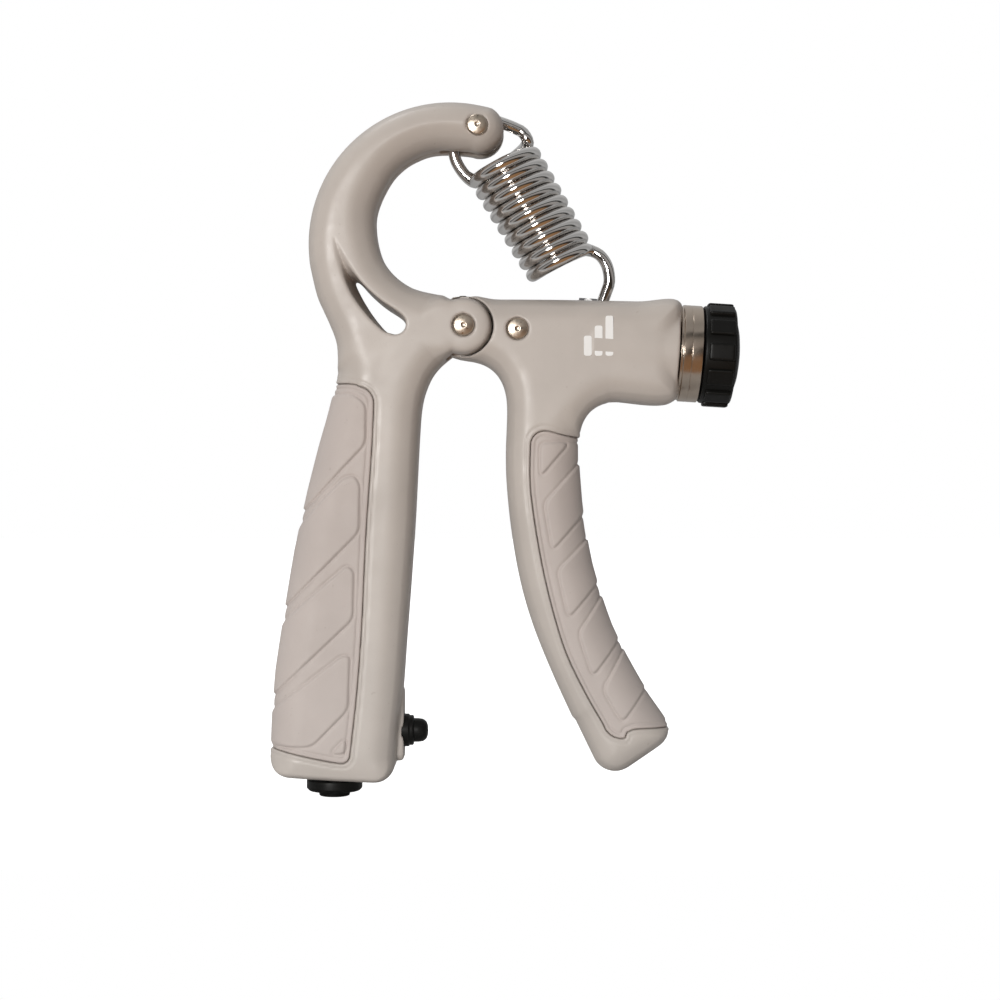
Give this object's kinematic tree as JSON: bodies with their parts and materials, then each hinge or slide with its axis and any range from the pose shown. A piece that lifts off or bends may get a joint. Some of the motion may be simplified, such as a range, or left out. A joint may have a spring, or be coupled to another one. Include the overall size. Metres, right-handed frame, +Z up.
{
  "type": "hand grip strengthener",
  "caption": "Adjustable spring hand grip strengthener: two padded levers on one hinge pin, an extension spring, a resistance knob at the arm's end and a squeeze counter with a reset knob.",
  "frame": {"origin": "below the middle of the object's box, level with the lowest point of the reset knob", "axes": "+Z up from the grip ends to the hook, +X from the hook's back towards the adjuster knob, +Y from the front face to the rear face, with the halves of both levers parting on Y = 0"},
  "size_m": [0.1038, 0.023, 0.1537],
  "materials": {
    "shell": "satin",
    "pad": "matte",
    "rivet": "polished nickel",
    "spring_wire": "polished",
    "screw_steel": "zinc plated",
    "ferrule": "turned, satin nickel",
    "black_plastic": "fine texture",
    "white_plastic": "gloss",
    "acetal": "natural",
    "orange_plastic": "natural",
    "cast_metal": "die cast",
    "bronze": "plain",
    "window": "clear"
  },
  "bodies": {
    "handle": {"handle_front_shell": "shell", "handle_rear_shell": "shell", "handle_grip_pad": "pad", "handle_shell_screws": "screw_steel", "spring_pin": "rivet", "hinge_pin": "rivet", "counter_housing": "acetal", "pinion_shaft": "screw_steel", "lever_spring": "screw_steel", "plunger_collar": "black_plastic", "window_bezel": "black_plastic", "counter_window": "window"},
    "arm": {"arm_front_shell": "shell", "arm_rear_shell": "shell", "arm_grip_pad": "pad", "arm_shell_screws": "screw_steel", "arm_rivet": "rivet", "screw_bearing": "acetal", "end_bush": "black_plastic", "end_ferrule": "ferrule", "thrust_washer": "bronze"},
    "knob": {"adjusting_screw": "screw_steel", "adjuster_knob": "black_plastic", "knob_screw": "screw_steel", "knob_cap": "black_plastic"},
    "traveller": {"traveller_nut": "cast_metal", "traveller_pin": "screw_steel"},
    "spring_top": {"spring_pin_sleeve": "acetal", "spring_upper_loop": "spring_wire"},
    "spring_upper": {"spring_upper_coils": "spring_wire"},
    "spring_lower": {"spring_lower_coils": "spring_wire"},
    "spring_foot": {"spring_lower_hook": "spring_wire"},
    "plunger": {"count_plunger": "black_plastic"},
    "counter_lever": {"count_lever": "orange_plastic"},
    "units": {"units_wheel": "white_plastic"},
    "tens": {"tens_wheel": "white_plastic"},
    "hundreds": {"hundreds_wheel": "white_plastic"},
    "tens_carry": {"tens_pinion": "orange_plastic"},
    "hundreds_carry": {"hundreds_pinion": "orange_plastic"},
    "reset": {"counter_shaft": "screw_steel", "reset_knob": "black_plastic"}
  },
  "joints": [
    {"name": "squeeze", "type": "hinge", "parent": "handle", "child": "arm", "pos_m": [-0.00955, 0, 0.1041], "axis": [0, 1, 0], "range_deg": [0, 22.9], "stiffness_Nm_per_rad": 22.9, "springref_deg": -3.44},
    {"name": "knob_turn", "type": "hinge", "parent": "arm", "child": "knob", "pos_m": [0.04635, 0, 0.09818], "axis": [-0.9981, 0, 0.061], "range_deg": [0, 3600]},
    {"name": "traveller_slide", "type": "slide", "parent": "arm", "child": "traveller", "axis": [0.9981, 0, -0.061], "range_m": [0, 0.01]},
    {"name": "spring_swing", "type": "hinge", "parent": "handle", "child": "spring_top", "pos_m": [-0.00655, 0, 0.1479], "axis": [0, 1, 0], "range_deg": [0, 7.64]},
    {"name": "spring_aim", "type": "hinge", "parent": "spring_top", "child": "spring_upper", "pos_m": [-0.00655, 0, 0.1479], "axis": [0, 1, 0], "range_deg": [-7.98, 0]},
    {"name": "spring_stretch", "type": "slide", "parent": "spring_upper", "child": "spring_lower", "axis": [0.5369, 0, -0.8437], "range_m": [0, 0.01043], "deforming": ["spring_upper_loop", "spring_upper_coils", "spring_lower_coils"]},
    {"name": "spring_reach", "type": "slide", "parent": "spring_lower", "child": "spring_foot", "axis": [0.5369, 0, -0.8437], "range_m": [0, 0.00728], "deforming": ["spring_lower_hook"]},
    {"name": "plunger_press", "type": "slide", "parent": "handle", "child": "plunger", "axis": [-1, 0, 0], "range_m": [0, 0.0036]},
    {"name": "lever_swing", "type": "hinge", "parent": "handle", "child": "counter_lever", "pos_m": [-0.03155, -0.0062, 0.0261], "axis": [0, 1, 0], "range_deg": [0, 18]},
    {"name": "units_turn", "type": "hinge", "parent": "handle", "child": "units", "pos_m": [-0.03845, 0, 0.0203], "axis": [0, 0, 1], "continuous": true},
    {"name": "tens_turn", "type": "hinge", "parent": "handle", "child": "tens", "pos_m": [-0.03845, 0, 0.0159], "axis": [0, 0, 1], "continuous": true},
    {"name": "hundreds_turn", "type": "hinge", "parent": "handle", "child": "hundreds", "pos_m": [-0.03845, 0, 0.0115], "axis": [0, 0, 1], "continuous": true},
    {"name": "tens_pinion_turn", "type": "hinge", "parent": "handle", "child": "tens_carry", "pos_m": [-0.04545, -0.002, 0.0181], "axis": [0, 0, 1], "continuous": true},
    {"name": "hundreds_pinion_turn", "type": "hinge", "parent": "handle", "child": "hundreds_carry", "pos_m": [-0.04545, -0.002, 0.0137], "axis": [0, 0, 1], "continuous": true},
    {"name": "reset_turn", "type": "hinge", "parent": "handle", "child": "reset", "pos_m": [-0.03845, 0, 0.0021], "axis": [0, 0, 1], "continuous": true}
  ],
  "couplings": [
    {"joint": "knob_turn", "follows": "traveller_slide", "rad_per_m": 6283.2},
    {"joint": "spring_swing", "follows": "squeeze", "ratio": 0.32476},
    {"joint": "spring_aim", "follows": "traveller_slide", "rad_per_m": -13.583},
    {"joint": "spring_stretch", "follows": "squeeze", "m_per_rad": 0.025602},
    {"joint": "spring_reach", "follows": "traveller_slide", "ratio": 0.70816},
    {"joint": "plunger_press", "follows": "squeeze", "m_per_rad": 0.008757},
    {"joint": "lever_swing", "follows": "squeeze", "ratio": 0.77293},
    {"joint": "tens_turn", "follows": "units_turn", "ratio": 0.1},
    {"joint": "hundreds_turn", "follows": "units_turn", "ratio": 0.01},
    {"joint": "tens_pinion_turn", "follows": "units_turn", "ratio": -0.25},
    {"joint": "hundreds_pinion_turn", "follows": "units_turn", "ratio": -0.025}
  ]
}
